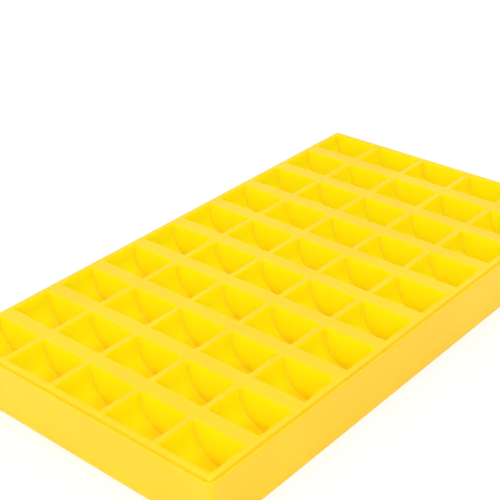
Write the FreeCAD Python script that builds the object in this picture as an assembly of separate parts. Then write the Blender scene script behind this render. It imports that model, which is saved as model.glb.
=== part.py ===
import FreeCAD, Part
import math
import os

# A coin tray moulded in one piece. Fifty round-bottomed cells hang from a flat deck, coins stand
# on edge in them, and the underside is open. Millimetres; Z = 0 is the table, the tray is centred
# on X and Y, and the troughs run along Y.

# Cells
columns = 5
rows = 10
cell_width = 25.4
cell_length = 19.0
cell_depth = 16.5
side_draft = 1.0
end_draft = 2.0

# Deck between and around the cells
thin_divider = 2.6
wide_bar = 7.1
rim_land = 2.3
deck_thickness = 2.0

# Step round the rim, which a lid or the next tray drops over
ledge_drop = 1.8
ledge_width = 1.0
rim_corner_radius = 1.6

# Outer skirt
overall_height = 25.5
skirt_wall = 1.2
skirt_draft = 0.5
skirt_top_round = 0.4

# Cell shells, seen from below
shell_wall = 1.6

column_pitch = cell_width + thin_divider
row_pitch = cell_length + wide_bar
block_width = columns * column_pitch - thin_divider
block_length = rows * row_pitch - wide_bar
rim_width = block_width + 2 * rim_land
rim_length = block_length + 2 * rim_land
ledge_z = overall_height - ledge_drop
top_width = rim_width + 2 * ledge_width
top_length = rim_length + 2 * ledge_width
skirt_corner_radius = rim_corner_radius + ledge_width
reach = 2.0


def rounded_plate(width, length, corner_radius, z):
    """A flat outline with round corners, centred on Z at the given height."""
    x, y, r = width / 2, length / 2, corner_radius
    bend = r * (1 - math.sqrt(0.5))
    corners = [(x, y, 1, 1), (-x, y, -1, 1), (-x, -y, -1, -1), (x, -y, 1, -1)]
    edges = []
    last = None
    for px, py, sx, sy in corners:
        along_x = FreeCAD.Vector(px - sx * r, py, z)
        along_y = FreeCAD.Vector(px, py - sy * r, z)
        middle = FreeCAD.Vector(px - sx * bend, py - sy * bend, z)
        first, second = (along_y, along_x) if sx * sy > 0 else (along_x, along_y)
        if last is not None:
            edges.append(Part.LineSegment(last, first).toShape())
        else:
            start = first
        edges.append(Part.Arc(first, middle, second).toShape())
        last = second
    edges.append(Part.LineSegment(last, start).toShape())
    return Part.Wire(edges)


def drafted_block(width, length, corner_radius, z_low, z_high, draft):
    """A block that is width by length at z_high and grows downwards by the draft."""
    spread = 2 * (z_high - z_low) * math.tan(math.radians(draft))
    low = rounded_plate(width + spread, length + spread, corner_radius + spread / 2, z_low)
    high = rounded_plate(width, length, corner_radius, z_high)
    return Part.makeLoft([low, high], True, True)


def floor_radius():
    """Radius of the floor that runs tangent into both side walls at the cell's depth."""
    lean = math.radians(side_draft)
    return (cell_width / 2 * math.cos(lean) - cell_depth * math.sin(lean)) / (1 - math.sin(lean))


def cell_form(offset, top):
    """The space of one cell grown by offset, from its floor up to top above the deck's top face."""
    lean = math.radians(side_draft)
    radius = floor_radius() + offset
    centre_z = overall_height - cell_depth + floor_radius()
    top_z = overall_height + top
    tangent_x = radius * math.cos(lean)
    tangent_z = centre_z - radius * math.sin(lean)
    mouth_x = tangent_x + (top_z - tangent_z) * math.tan(lean)
    half_length = cell_length / 2 + offset / math.cos(math.radians(end_draft))
    top_y = half_length + top * math.tan(math.radians(end_draft))

    left_mouth = FreeCAD.Vector(-mouth_x, -top_y, top_z)
    left_tangent = FreeCAD.Vector(-tangent_x, -top_y, tangent_z)
    floor = FreeCAD.Vector(0, -top_y, centre_z - radius)
    right_tangent = FreeCAD.Vector(tangent_x, -top_y, tangent_z)
    right_mouth = FreeCAD.Vector(mouth_x, -top_y, top_z)
    outline = Part.Wire([
        Part.LineSegment(left_mouth, left_tangent).toShape(),
        Part.Arc(left_tangent, floor, right_tangent).toShape(),
        Part.LineSegment(right_tangent, right_mouth).toShape(),
        Part.LineSegment(right_mouth, left_mouth).toShape(),
    ])
    trough = Part.Face(outline).extrude(FreeCAD.Vector(0, 2 * top_y, 0))

    low_z = centre_z - radius - reach
    low_y = top_y - (top_z - low_z) * math.tan(math.radians(end_draft))
    side = mouth_x + reach
    ends = Part.makePolygon([
        FreeCAD.Vector(-side, -top_y, top_z),
        FreeCAD.Vector(-side, top_y, top_z),
        FreeCAD.Vector(-side, low_y, low_z),
        FreeCAD.Vector(-side, -low_y, low_z),
        FreeCAD.Vector(-side, -top_y, top_z),
    ])
    return trough.common(Part.Face(ends).extrude(FreeCAD.Vector(2 * side, 0, 0)))


def all_cells(form):
    """The form copied to every place of the grid."""
    copies = []
    for column in range(columns):
        for row in range(rows):
            x = (column - (columns - 1) / 2) * column_pitch
            y = (row - (rows - 1) / 2) * row_pitch
            copy = form.copy()
            copy.translate(FreeCAD.Vector(x, y, 0))
            copies.append(copy)
    return copies


def skirt_and_deck():
    """The outer shape with its step, hollow from below under a deck of even thickness."""
    outer = drafted_block(top_width, top_length, skirt_corner_radius, 0, ledge_z, skirt_draft)
    ledge_edges = [edge for edge in outer.Edges if edge.BoundBox.ZMin > ledge_z - 0.01]
    outer = outer.makeFillet(skirt_top_round, ledge_edges)
    rim = drafted_block(rim_width, rim_length, rim_corner_radius, ledge_z - deck_thickness,
                        overall_height, 0)
    cavity_z = ledge_z - deck_thickness
    inset = 2 * (skirt_wall - deck_thickness * math.tan(math.radians(skirt_draft)))
    cavity = drafted_block(top_width - inset, top_length - inset,
                           skirt_corner_radius - skirt_wall, -reach, cavity_z, skirt_draft)
    step_cavity = drafted_block(rim_width - 2 * deck_thickness, rim_length - 2 * deck_thickness,
                                rim_corner_radius, 0, overall_height - deck_thickness, 0)
    return outer.fuse(rim).cut([cavity, step_cavity])


def coin_tray():
    """Deck, skirt and cell shells as one moulding, with the cells open at the top."""
    body = skirt_and_deck()
    body = body.fuse(all_cells(cell_form(shell_wall, -deck_thickness / 2)))
    body = body.cut(all_cells(cell_form(0, reach)))
    return body.removeSplitter()


os.makedirs("parts", exist_ok=True)
tray = coin_tray()
print("solids", len(tray.Solids), "valid", tray.isValid(), "volume mm3", round(tray.Volume))
print("floor radius mm", round(floor_radius(), 2))
tray.exportStep("parts/coin_tray.step")
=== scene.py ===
import math

import bpy
from mathutils import Matrix, Vector


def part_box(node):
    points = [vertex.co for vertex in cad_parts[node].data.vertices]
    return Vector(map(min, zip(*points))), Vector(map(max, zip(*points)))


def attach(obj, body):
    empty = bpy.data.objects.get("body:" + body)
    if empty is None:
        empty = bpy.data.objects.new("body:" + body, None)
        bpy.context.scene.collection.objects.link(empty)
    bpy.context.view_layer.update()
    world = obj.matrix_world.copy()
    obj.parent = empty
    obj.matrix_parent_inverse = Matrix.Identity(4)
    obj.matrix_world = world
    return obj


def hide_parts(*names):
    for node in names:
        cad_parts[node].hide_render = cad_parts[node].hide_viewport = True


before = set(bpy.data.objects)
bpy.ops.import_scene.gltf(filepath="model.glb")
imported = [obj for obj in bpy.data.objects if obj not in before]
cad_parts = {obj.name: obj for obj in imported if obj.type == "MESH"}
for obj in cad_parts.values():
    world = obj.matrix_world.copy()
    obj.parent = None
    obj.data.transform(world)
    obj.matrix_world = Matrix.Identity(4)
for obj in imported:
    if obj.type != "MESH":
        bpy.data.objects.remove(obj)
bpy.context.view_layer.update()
print("frame loaded:", sorted(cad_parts))

mm = 0.001
tiny = 0.01 * mm                   # how far off its place a point may lie and still count
level = 0.99                       # a face lies level where its normal's z is past this
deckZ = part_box("coin_tray")[1][2]  # the deck is the highest face of the CAD tray


# Small helpers for modelling by hand

def startAdding():
    if bpy.context.object and bpy.context.object.mode == "EDIT":
        bpy.ops.object.mode_set(mode="OBJECT")
    bpy.ops.object.select_all(action="DESELECT")


def choose(*pieces):
    # selects these pieces alone and makes the last one active
    startAdding()
    for piece in pieces:
        piece.select_set(True)
    bpy.context.view_layer.objects.active = pieces[-1]


def freezePlace():
    bpy.ops.object.transform_apply(location=True, rotation=True, scale=True)
    return bpy.context.object


def pick(piece, kind, test):
    # selects vertices by place, edges by the places of both ends, or faces by centre and normal
    bpy.ops.object.mode_set(mode="OBJECT")
    mesh = piece.data
    for group in (mesh.vertices, mesh.edges, mesh.polygons):
        group.foreach_set("select", [False] * len(group))
    places = [vertex.co for vertex in mesh.vertices]
    if kind == "VERT":
        for vertex in mesh.vertices:
            vertex.select = test(vertex.co)
    elif kind == "EDGE":
        for edge in mesh.edges:
            edge.select = test(places[edge.vertices[0]], places[edge.vertices[1]])
    else:
        for face in mesh.polygons:
            face.select = test(face.center, face.normal)
    bpy.context.tool_settings.mesh_select_mode = (kind == "VERT", kind == "EDGE", kind == "FACE")
    bpy.ops.object.mode_set(mode="EDIT")


def pickAll():
    bpy.ops.object.mode_set(mode="EDIT")
    bpy.ops.mesh.select_all(action="SELECT")


def leave():
    bpy.ops.object.mode_set(mode="OBJECT")


def stretch(x, y, z, centre):
    bpy.ops.transform.resize(value=(x, y, z), center_override=centre)


def pullEdges(shift):
    bpy.ops.mesh.extrude_edges_move(TRANSFORM_OT_translate={"value": shift})


def pullFace(shift):
    bpy.ops.mesh.extrude_region_move(TRANSFORM_OT_translate={"value": shift})


def useModifier(piece, kind, settings):
    bpy.context.view_layer.objects.active = piece
    modifier = piece.modifiers.new(kind.lower(), kind)
    for name, value in settings.items():
        setattr(modifier, name, value)
    bpy.ops.object.modifier_apply(modifier=modifier.name)


# The coin tray: one moulding, with fifty troughs hanging from the deck

tray = {
    "columns": 5,
    "rows": 10,
    "cellWidth": 25.4 * mm,
    "cellLength": 19.0 * mm,
    "cellDepth": 16.5 * mm,
    "sideDraft": math.radians(1.0),
    "endDraft": math.radians(2.0),
    "thinDivider": 2.6 * mm,
    "wideBar": 7.1 * mm,
    "rimLand": 2.3 * mm,
    "deckThickness": 2.0 * mm,
    "ledgeDrop": 1.8 * mm,
    "ledgeWidth": 1.0 * mm,
    "skirtWall": 1.2 * mm,
    "skirtDraft": math.radians(0.5),
    "rimCorner": 1.6 * mm,
    "shellWall": 1.6 * mm,
    "creaseRound": 0.5 * mm,     # between a trough and its end walls
    "mouthRound": 0.35 * mm,
    "edgeRound": 0.3 * mm,       # on the rim, the step, the ledge and the foot
    "rimStrip": 0.8 * mm,        # the edge of the deck, which is modelled with the rim
    "deckInset": 1.28 * mm,      # from the rim to the rest of the deck; the gap is filled at the end
    "drumSides": 72,
    "roundSteps": 4,
    "cornerSteps": 8,
    "sharpCorner": math.radians(60),  # the skirt's edges get their round where they turn by more
    "smoothUpTo": math.radians(35),
    "weldDistance": 0.001 * mm,
}
tray["columnPitch"] = tray["cellWidth"] + tray["thinDivider"]
tray["rowPitch"] = tray["cellLength"] + tray["wideBar"]
tray["blockWidth"] = tray["columns"] * tray["columnPitch"] - tray["thinDivider"]
tray["blockLength"] = tray["rows"] * tray["rowPitch"] - tray["wideBar"]
tray["rimWidth"] = tray["blockWidth"] + 2 * tray["rimLand"]
tray["rimLength"] = tray["blockLength"] + 2 * tray["rimLand"]
tray["topWidth"] = tray["rimWidth"] + 2 * tray["ledgeWidth"]
tray["topLength"] = tray["rimLength"] + 2 * tray["ledgeWidth"]
tray["ledgeZ"] = deckZ - tray["ledgeDrop"]
tray["slope"] = math.tan(tray["endDraft"])
tray["floorRadius"] = ((tray["cellWidth"] / 2 * math.cos(tray["sideDraft"])
                        - tray["cellDepth"] * math.sin(tray["sideDraft"]))
                       / (1 - math.sin(tray["sideDraft"])))
tray["floorAxisZ"] = deckZ - tray["cellDepth"] + tray["floorRadius"]
tray["drumLength"] = 1.5 * tray["rowPitch"]  # longer than a cell, because its ends are cut
tray["firstCell"] = Vector((-(tray["columns"] - 1) / 2 * tray["columnPitch"],
                            -(tray["rows"] - 1) / 2 * tray["rowPitch"], 0))


def makePlug(name, grow, topZ):
    # a lying drum, cut level, drawn up to the mouth, with both ends cut at the draft
    radius = tray["floorRadius"] + grow
    centreZ = tray["floorAxisZ"]
    lean = tray["sideDraft"]
    tangentX = radius * math.cos(lean)
    tangentZ = centreZ - radius * math.sin(lean)
    topX = tangentX + (topZ - tangentZ) * math.tan(lean)
    endY = tray["cellLength"] / 2 + grow / math.cos(tray["endDraft"])

    startAdding()
    bpy.ops.mesh.primitive_cylinder_add(vertices=tray["drumSides"], radius=radius,
                                        depth=tray["drumLength"], location=(0, 0, centreZ),
                                        rotation=(math.radians(90), 0, 0))
    plug = freezePlace()
    plug.name = name
    pickAll()
    bpy.ops.mesh.bisect(plane_co=(0, 0, tangentZ), plane_no=(0, 0, 1), use_fill=True,
                        clear_outer=True)
    pick(plug, "FACE", lambda centre, normal: normal.z > level)
    pullFace((0, 0, topZ - tangentZ))
    stretch(topX / tangentX, 1, 1, (0, 0, topZ))
    for side in (1, -1):
        pickAll()
        bpy.ops.mesh.bisect(plane_co=(0, side * endY, deckZ), plane_no=(0, side, -tray["slope"]),
                            use_fill=True, clear_outer=True)
    leave()
    return plug


def makeCell():
    # the inside of one cell with its round mouth, in a tile of the deck
    mouthRound = tray["mouthRound"]
    mouthZ = deckZ - mouthRound
    cell = makePlug("cell", 0.0, mouthZ)

    def onEnd(place):
        endY = tray["cellLength"] / 2 - (deckZ - place.z) * tray["slope"]
        return abs(abs(place.y) - endY) < tiny

    pick(cell, "EDGE", lambda a, b: onEnd(a) and onEnd(b) and a.y * b.y > 0
         and min(a.z, b.z) < mouthZ - tiny)
    bpy.ops.mesh.bevel(offset=tray["creaseRound"], segments=tray["roundSteps"], affect="EDGES")
    pick(cell, "FACE", lambda centre, normal: normal.z > level and centre.z > mouthZ - tiny)
    bpy.ops.mesh.delete(type="FACE")

    # the mouth's round, step by step from the walls out to the deck
    halfWidth = max(vertex.co.x for vertex in cell.data.vertices)
    halfLength = tray["cellLength"] / 2 - mouthRound * tray["slope"]
    steps = tray["roundSteps"]
    pick(cell, "EDGE", lambda a, b: min(a.z, b.z) > mouthZ - tiny)
    out, lift = 0.0, 0.0
    for step in range(1, steps + 1):
        turn = math.radians(90) * step / steps
        nextOut, nextLift = mouthRound * (1 - math.cos(turn)), mouthRound * math.sin(turn)
        pullEdges((0, 0, nextLift - lift))
        stretch((halfWidth + nextOut) / (halfWidth + out), (halfLength + nextOut) / (halfLength + out),
                1, (0, 0, mouthZ + nextLift))
        out, lift = nextOut, nextLift

    bpy.ops.mesh.select_all(action="DESELECT")
    bpy.ops.mesh.primitive_plane_add(size=1, location=(0, 0, deckZ))
    stretch(tray["columnPitch"], tray["rowPitch"], 1, (0, 0, deckZ))
    bpy.ops.mesh.delete(type="ONLY_FACE")
    pick(cell, "EDGE", lambda a, b: min(a.z, b.z) > deckZ - tiny)
    bpy.ops.mesh.fill()
    bpy.ops.mesh.tris_convert_to_quads()
    leave()
    return cell


def repeatCells(cell, across, along):
    # the finished form copied over the grid from the first cell at the front left
    cell.location = tray["firstCell"]
    choose(cell)
    freezePlace()
    for count, shift in ((across, (tray["columnPitch"], 0, 0)), (along, (0, tray["rowPitch"], 0))):
        useModifier(cell, "ARRAY", {"count": count, "use_relative_offset": False,
                                    "use_constant_offset": True, "constant_offset_displace": shift,
                                    "use_merge_vertices": True, "merge_threshold": tiny})


def makeDeck():
    deck = makeCell()
    repeatCells(deck, tray["columns"], tray["rows"])
    edgeX = tray["columns"] * tray["columnPitch"] / 2
    edgeY = tray["rows"] * tray["rowPitch"] / 2
    newX = tray["rimWidth"] / 2 - tray["deckInset"]
    newY = tray["rimLength"] / 2 - tray["deckInset"]
    pick(deck, "VERT", lambda place: abs(place.x) > edgeX - tiny)
    stretch(newX / edgeX, 1, 1, (0, 0, deckZ))
    pick(deck, "VERT", lambda place: abs(place.y) > edgeY - tiny)
    stretch(1, newY / edgeY, 1, (0, 0, deckZ))
    leave()
    print("deck with", tray["columns"] * tray["rows"], "cells:", len(deck.data.polygons), "faces")
    return deck


def makeSkirt():
    # a block with the rim standing on it, open at the deck, with the foot's wall marked out below
    ledgeZ = tray["ledgeZ"]
    spread = 2 * ledgeZ * math.tan(tray["skirtDraft"])
    startAdding()
    bpy.ops.mesh.primitive_cube_add(size=1, location=(0, 0, ledgeZ / 2))
    bpy.ops.transform.resize(value=(tray["topWidth"], tray["topLength"], ledgeZ))
    skirt = freezePlace()
    skirt.name = "skirt"
    pick(skirt, "FACE", lambda centre, normal: normal.z < -level)
    stretch(1 + spread / tray["topWidth"], 1 + spread / tray["topLength"], 1, (0, 0, 0))
    pick(skirt, "EDGE", lambda a, b: abs(a.z - b.z) > ledgeZ / 2)
    bpy.ops.mesh.bevel(offset=tray["rimCorner"] + tray["ledgeWidth"],
                       segments=tray["cornerSteps"], affect="EDGES")
    pick(skirt, "FACE", lambda centre, normal: normal.z > level)
    bpy.ops.mesh.inset(thickness=tray["ledgeWidth"])
    pullFace((0, 0, tray["ledgeDrop"]))
    bpy.ops.mesh.inset(thickness=tray["rimStrip"])
    bpy.ops.mesh.delete(type="FACE")
    bpy.ops.mesh.select_mode(type="EDGE")
    bpy.ops.mesh.edges_select_sharp(sharpness=tray["sharpCorner"])
    bpy.ops.mesh.bevel(offset=tray["edgeRound"], segments=tray["roundSteps"], affect="EDGES")
    pick(skirt, "FACE", lambda centre, normal: normal.z < -level and centre.z < tiny)
    bpy.ops.mesh.inset(thickness=tray["skirtWall"] - tray["edgeRound"])
    leave()
    print("skirt:", len(skirt.data.polygons), "faces")
    return skirt


def makeUnderside(skirt):
    # the hollow below the deck, raised from the foot's inner outline and cut round the cell shells
    ceilingZ = tray["ledgeZ"] - tray["deckThickness"]
    pick(skirt, "FACE", lambda centre, normal: normal.z < -level and centre.length < tiny)
    bpy.ops.mesh.separate(type="SELECTED")
    leave()
    hollow = [piece for piece in bpy.context.selected_objects if piece != skirt][0]
    choose(hollow)
    hollow.name = "hollow"
    innerX, innerY = hollow.dimensions.x / 2, hollow.dimensions.y / 2
    narrow = ceilingZ * math.tan(tray["skirtDraft"])
    pickAll()
    pullFace((0, 0, ceilingZ))
    stretch(1 - narrow / innerX, 1 - narrow / innerY, 1, (0, 0, ceilingZ))
    # a second face in the same place draws in to the recess below the raised rim
    recessX = tray["rimWidth"] / 2 - tray["deckThickness"]
    recessY = tray["rimLength"] / 2 - tray["deckThickness"]
    pullFace((0, 0, 0))
    stretch(recessX / (innerX - narrow), recessY / (innerY - narrow), 1, (0, 0, ceilingZ))
    pullFace((0, 0, tray["ledgeDrop"]))
    pick(hollow, "EDGE", lambda a, b: max(a.z, b.z) < tiny)
    bpy.ops.mesh.edge_face_add()
    pickAll()
    bpy.ops.mesh.normals_make_consistent(inside=False)
    leave()

    # one column of shells cuts the hollow and then moves on to the next column
    shell = makePlug("shell", tray["shellWall"], deckZ)
    repeatCells(shell, 1, tray["rows"])
    for column in range(tray["columns"]):
        useModifier(hollow, "BOOLEAN", {"operation": "DIFFERENCE", "solver": "EXACT", "object": shell})
        choose(shell)
        shell.location.x = tray["columnPitch"]
        freezePlace()
    bpy.data.objects.remove(shell)
    choose(hollow)
    pick(hollow, "FACE", lambda centre, normal: normal.z < -level and centre.z < tiny)
    bpy.ops.mesh.delete(type="FACE")
    leave()
    print("underside:", len(hollow.data.polygons), "faces")
    return hollow


def makeTray():
    deck = makeDeck()
    skirt = makeSkirt()
    hollow = makeUnderside(skirt)
    choose(skirt, hollow, deck)
    bpy.ops.object.join()
    deck.name = "coinTray"
    deck.data.name = "coinTray"

    # the foot is welded, and the gap between the deck and the rim's strip is filled
    pick(deck, "VERT", lambda place: place.z < tiny)
    bpy.ops.mesh.remove_doubles(threshold=tray["weldDistance"])
    bpy.ops.mesh.select_mode(type="EDGE")
    bpy.ops.mesh.select_all(action="DESELECT")
    bpy.ops.mesh.select_non_manifold(use_wire=False, use_multi_face=False,
                                     use_non_contiguous=False, use_verts=False)
    bpy.ops.mesh.fill()
    bpy.ops.mesh.tris_convert_to_quads()
    pickAll()
    bpy.ops.mesh.normals_make_consistent(inside=False)
    leave()
    bpy.ops.object.shade_smooth_by_angle(angle=tray["smoothUpTo"])
    useModifier(deck, "WEIGHTED_NORMAL", {"keep_sharp": True})
    return deck


# Shader maths on sockets, written as plain arithmetic

class Field:
    def __init__(self, tree, socket=None):
        self.tree = tree
        self.socket = socket

    def node(self, kind, settings, sockets, result=0):
        # settings go on the node itself, and its sockets take plain values or links
        made = self.tree.nodes.new(kind)
        for name, value in settings.items():
            setattr(made, name, value)
        for name, value in sockets.items():
            if isinstance(value, Field):
                self.tree.links.new(value.socket, made.inputs[name])
            else:
                made.inputs[name].default_value = value
        return Field(self.tree, made.outputs[result])

    def math(self, operation, *values):
        return self.node("ShaderNodeMath", {"operation": operation}, dict(enumerate(values)))

    def __add__(self, other):
        return self.math("ADD", self, other)

    __radd__ = __add__

    def __sub__(self, other):
        return self.math("SUBTRACT", self, other)

    def __rsub__(self, other):
        return self.math("SUBTRACT", other, self)

    def __mul__(self, other):
        return self.math("MULTIPLY", self, other)

    __rmul__ = __mul__

    def __truediv__(self, other):
        return self.math("DIVIDE", self, other)

    def size(self):
        return self.math("ABSOLUTE", self)

    def root(self):
        return self.math("SQRT", self)

    def atMost(self, limit):
        return self.math("MINIMUM", self, limit)

    def atLeast(self, limit):
        return self.math("MAXIMUM", self, limit)

    def within(self, pitch, count):
        # how far a point lies from the middle of its own cell, in a centred row of cells
        return (self.math("FRACT", self / pitch + count / 2) - 0.5) * pitch

    def rise(self, start, end):
        # 0 below start, 1 above end, smooth between
        return self.node("ShaderNodeMapRange", {"interpolation_type": "SMOOTHSTEP"},
                         {"Value": self, "From Min": start, "From Max": end})

    def noise(self, scale, detail=2.0):
        return self.node("ShaderNodeTexNoise", {}, {"Vector": self, "Scale": scale, "Detail": detail})

    def blend(self, low, high):
        # self picks between two colours; 6, 7 and 2 are the node's colour sockets
        return self.node("ShaderNodeMix", {"data_type": "RGBA"}, {"Factor": self, 6: low, 7: high}, 2)


plastic = {
    "colour": (1.0, 0.61, 0.0, 1.0),
    "deeperColour": (1.0, 0.575, 0.0, 1.0),
    "cloudScale": 22.0,          # slow change between those two, per metre
    "cloudLow": 0.35,
    "cloudHigh": 0.65,
    "cellPaintedLight": (1.0, 0.845, 0.0045, 1.0),  # painted light: paler, standing in for the light that comes through the thin shells and bounces in the cells
    "cellStart": 0.2,            # where that painted light sets in and is full, in radii of the mouth's round
    "cellFull": 1.2,
    "paintedShadeColour": (1.0, 0.68, 0.0, 1.0),    # painted shade: a darker, more orange tone where a trough meets its ends and on floors, standing in for the shade there
    "creaseOnTrough": 2.2 * mm,  # how far the painted crease shade and the added roughness reach from the crease
    "creaseOnEnd": 2.8 * mm,
    "creaseShadeStrength": 0.4,
    "creaseFull": 0.25,          # where it is full below the deck, as a share of the cell's depth
    "floorShadeStart": 0.68,          # where the floor's painted shade sets in and is full, as shares too
    "floorShadeFull": 0.96,
    "floorShadeStrength": 0.9,
    "roughness": 0.36,
    "cellRoughness": 0.24,       # the troughs come off polished cores
    "creaseRoughness": 0.5,      # added in the creases, where the core's corners stay unpolished
    "roughnessSpread": 0.08,
    "gloss": 0.34,               # the specular level, where 0.5 is common plastic
    "grainScale": 2600.0,        # fine moulded grain, per metre
    "grainDepth": 0.004 * mm,
    "waveScale": 45.0,           # slight sink and flow over the walls
    "waveDetail": 1.0,
    "waveDepth": 0.03 * mm,
    "subsurface": 0.35,
    "subsurfaceRadius": (1.0, 0.55, 0.03),
    "subsurfaceScale": 4.0 * mm,
}


def insideCells(x, y, drop):
    # 1 on everything below the deck's top face inside the block of cells
    mouthRound = tray["mouthRound"]
    halfWidth, halfLength = tray["blockWidth"] / 2, tray["blockLength"] / 2
    insideX = 1 - x.size().rise(halfWidth, halfWidth + mouthRound)
    insideY = 1 - y.size().rise(halfLength, halfLength + mouthRound)
    return drop.rise(plastic["cellStart"] * mouthRound, plastic["cellFull"] * mouthRound) * insideX * insideY


def nearCrease(x, y, z, drop):
    # how far a point lies from its cell's end wall and from the trough; both are 0 at the crease
    cellX = x.within(tray["columnPitch"], tray["columns"])
    cellY = y.within(tray["rowPitch"], tray["rows"])
    fromEnd = (tray["cellLength"] / 2 - drop * tray["slope"]) - cellY.size()
    belowAxis = (z - tray["floorAxisZ"]).atMost(0.0)
    fromTrough = tray["floorRadius"] - (cellX * cellX + belowAxis * belowAxis).root()
    fromCrease = fromEnd / plastic["creaseOnTrough"] + fromTrough / plastic["creaseOnEnd"]
    # 1 at the crease, fading with distance and weaker close to the deck; it sets the painted crease shade
    # and the creases' added roughness
    return (1 - fromCrease.rise(0.0, 1.0)) * drop.rise(0.0, plastic["creaseFull"] * tray["cellDepth"])


def makePlastic():
    material = bpy.data.materials.new("trayPlastic")
    material.use_nodes = True
    tree = material.node_tree
    shader = tree.nodes["Principled BSDF"]
    place = Field(tree).node("ShaderNodeTexCoord", {}, {}, "Object")
    x, y, z = (place.node("ShaderNodeSeparateXYZ", {}, {"Vector": place}, axis) for axis in "XYZ")
    drop = deckZ - z
    inCell = insideCells(x, y, drop)
    atCrease = nearCrease(x, y, z, drop)
    # painted shade on the deep floors of the cells, darker towards the bottom
    floorShadeMask = drop.rise(plastic["floorShadeStart"] * tray["cellDepth"], plastic["floorShadeFull"] * tray["cellDepth"])
    cloud = place.noise(plastic["cloudScale"])
    grain = place.noise(plastic["grainScale"])
    wave = place.noise(plastic["waveScale"], plastic["waveDetail"])

    def feed(name, field):
        tree.links.new(field.socket, shader.inputs[name])

    tint = cloud.rise(plastic["cloudLow"], plastic["cloudHigh"])
    outside = tint.blend(plastic["colour"], plastic["deeperColour"])
    # painted shade: the creases and the deep floors get a darker tone, standing in for the shade that falls
    # there
    paintedShade = (atCrease * plastic["creaseShadeStrength"]).atLeast(floorShadeMask * plastic["floorShadeStrength"])
    # the cells' painted light, with the painted shade laid over it
    inside = paintedShade.blend(plastic["cellPaintedLight"], plastic["paintedShadeColour"])
    feed("Base Color", inCell.blend(outside, inside))

    cloudMiddle = (plastic["cloudLow"] + plastic["cloudHigh"]) / 2
    feed("Roughness", plastic["roughness"] + (plastic["cellRoughness"] - plastic["roughness"]) * inCell
         + plastic["creaseRoughness"] * atCrease * inCell
         + (cloud - cloudMiddle) * plastic["roughnessSpread"])

    waves = place.node("ShaderNodeBump", {}, {"Height": wave, "Strength": 1.0,
                                              "Distance": plastic["waveDepth"]})
    feed("Normal", place.node("ShaderNodeBump", {}, {"Height": grain * (1 - inCell), "Strength": 1.0,
                                                     "Distance": plastic["grainDepth"], "Normal": waves}))

    shader.inputs["Specular IOR Level"].default_value = plastic["gloss"]
    shader.inputs["Subsurface Weight"].default_value = plastic["subsurface"]
    shader.inputs["Subsurface Radius"].default_value = plastic["subsurfaceRadius"]
    shader.inputs["Subsurface Scale"].default_value = plastic["subsurfaceScale"]
    print("tray plastic:", len(tree.nodes), "nodes")
    return material


coinTray = makeTray()
coinTray.data.materials.clear()
coinTray.data.materials.append(makePlastic())
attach(coinTray, "root")
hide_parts("coin_tray")
print("coin tray:", len(coinTray.data.polygons), "faces")


# Floor, light and camera

studio = {
    "floorSize": 12.0,
    "floorGrid": 4,
    "floorDrop": 0.02 * mm,      # keeps the floor and the foot out of one plane
    "floorWhite": 0.9,
    "floorRoughness": 0.8,
    "floorGlow": 0.6,            # share of plain white that the camera sees in the floor
    "worldStrength": 0.9,
    "fillPlace": Vector((0.45, -1.1, 0.75)),
    "fillSize": 0.9,
    "fillPower": 5.0,
    "topPlace": Vector((0.1, -0.1, 1.4)),
    "topSize": 0.9,
    "topPower": 5.0,
}


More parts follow.
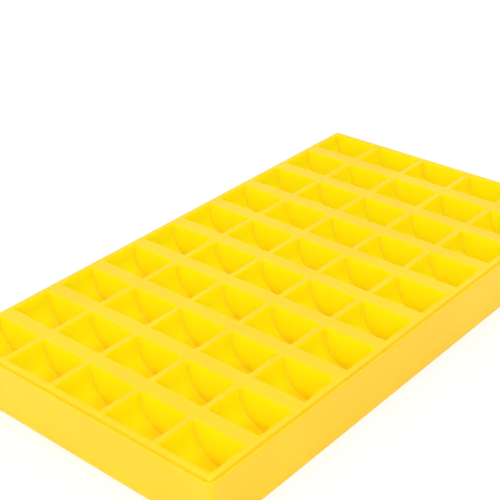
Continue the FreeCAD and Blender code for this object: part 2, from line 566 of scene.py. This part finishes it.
def makeFloor():
    startAdding()
    bpy.ops.mesh.primitive_grid_add(x_subdivisions=studio["floorGrid"], y_subdivisions=studio["floorGrid"],
                                    size=studio["floorSize"], location=(0, 0, -studio["floorDrop"]))
    floor = freezePlace()
    floor.name = "studioFloor"
    material = bpy.data.materials.new("floorWhite")
    material.use_nodes = True
    tree = material.node_tree
    shader = tree.nodes["Principled BSDF"]
    white = studio["floorWhite"]
    shader.inputs["Base Color"].default_value = (white, white, white, 1)
    shader.inputs["Roughness"].default_value = studio["floorRoughness"]
    start = Field(tree)
    seen = start.node("ShaderNodeLightPath", {}, {}, "Is Camera Ray")
    glow = start.node("ShaderNodeEmission", {}, {"Color": (1, 1, 1, 1), "Strength": 1.0})
    body = Field(tree, shader.outputs["BSDF"])
    mixed = start.node("ShaderNodeMixShader", {}, {"Fac": seen * studio["floorGlow"], 1: body, 2: glow})
    tree.links.new(mixed.socket, tree.nodes["Material Output"].inputs["Surface"])
    floor.data.materials.append(material)


def makeWorld():
    # the camera sees plain white, and the object gets the world's own strength
    world = bpy.data.worlds.new("studioWorld")
    bpy.context.scene.world = world
    world.use_nodes = True
    tree = world.node_tree
    background = tree.nodes["Background"]
    seen = Field(tree).node("ShaderNodeLightPath", {}, {}, "Is Camera Ray")
    strength = studio["worldStrength"] + (1.0 - studio["worldStrength"]) * seen
    tree.links.new(strength.socket, background.inputs["Strength"])
    background.inputs["Color"].default_value = (1, 1, 1, 1)


def makeLamp(name, place, size, power):
    # a square lamp that looks at the tray
    lamp = bpy.data.lights.new(name, "AREA")
    lamp.size = size
    lamp.energy = power
    holder = bpy.data.objects.new(name, lamp)
    bpy.context.collection.objects.link(holder)
    holder.location = place
    holder.rotation_euler = (-place).to_track_quat("-Z", "Y").to_euler()


view = {
    "right": Vector((0.75586, 0.65413, -0.02833)),
    "up": Vector((-0.30339, 0.38825, 0.87018)),
    "back": Vector((0.58020, -0.64914, 0.49192)),
    "place": Vector((0.29159, -0.35192, deckZ + 0.26628)),
    "lens": 85.18,               # millimetres, on a sensor of the next line's width
    "sensor": 36,
    "farClip": 50,
}


def makeCamera():
    # the photograph's direction, distance and field of view
    lens = bpy.data.cameras.new("camera")
    lens.lens = view["lens"]
    lens.sensor_width = view["sensor"]
    lens.clip_end = view["farClip"]
    camera = bpy.data.objects.new("camera", lens)
    bpy.context.collection.objects.link(camera)
    camera.matrix_world = Matrix((view["right"], view["up"], view["back"])).transposed().to_4x4()
    camera.location = view["place"]
    bpy.context.scene.camera = camera


makeFloor()
makeWorld()
makeLamp("fillLamp", studio["fillPlace"], studio["fillSize"], studio["fillPower"])
makeLamp("topLamp", studio["topPlace"], studio["topSize"], studio["topPower"])
makeCamera()
bpy.context.scene.view_settings.view_transform = "Standard"
print("studio set")
